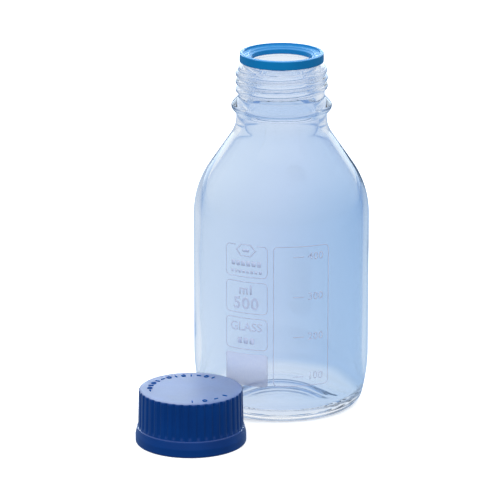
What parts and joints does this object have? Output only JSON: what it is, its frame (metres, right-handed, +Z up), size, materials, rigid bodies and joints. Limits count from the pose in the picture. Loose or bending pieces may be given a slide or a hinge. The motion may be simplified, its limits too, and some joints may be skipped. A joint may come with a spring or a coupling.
{
  "type": "reagent bottle",
  "caption": "Round clear glass laboratory reagent bottle with a ringed screw neck, a blue pouring ring and a blue ribbed screw cap standing on the table beside it.",
  "frame": {"origin": "middle of the bottle's contact ring, at table level", "axes": "+Z up along the bottle's axis; -Y is the side that carries the enamel marks and the cap"},
  "size_m": [0.1135, 0.1324, 0.177],
  "materials": {
    "clear_glass": "polished",
    "ring_plastic": "gloss",
    "cap_plastic": "satin",
    "enamel": "matte"
  },
  "bodies": {
    "bottle": {"glass_bottle": "clear_glass", "emblem_frame": "enamel", "volume_frame": "enamel", "material_frame": "enamel", "writing_panel": "enamel", "graduation_scale": "enamel"},
    "ring": {"pouring_ring": "ring_plastic"},
    "cap": {"screw_cap": "cap_plastic"}
  },
  "joints": [
    {"name": "ring_lift", "type": "slide", "parent": "bottle", "child": "ring", "axis": [0, 0, 1], "range_m": [0, 0.03]},
    {"name": "cap_lift", "type": "slide", "parent": "bottle", "child": "cap", "axis": [0, 0, 1], "range_m": [0, 0.19]}
  ]
}
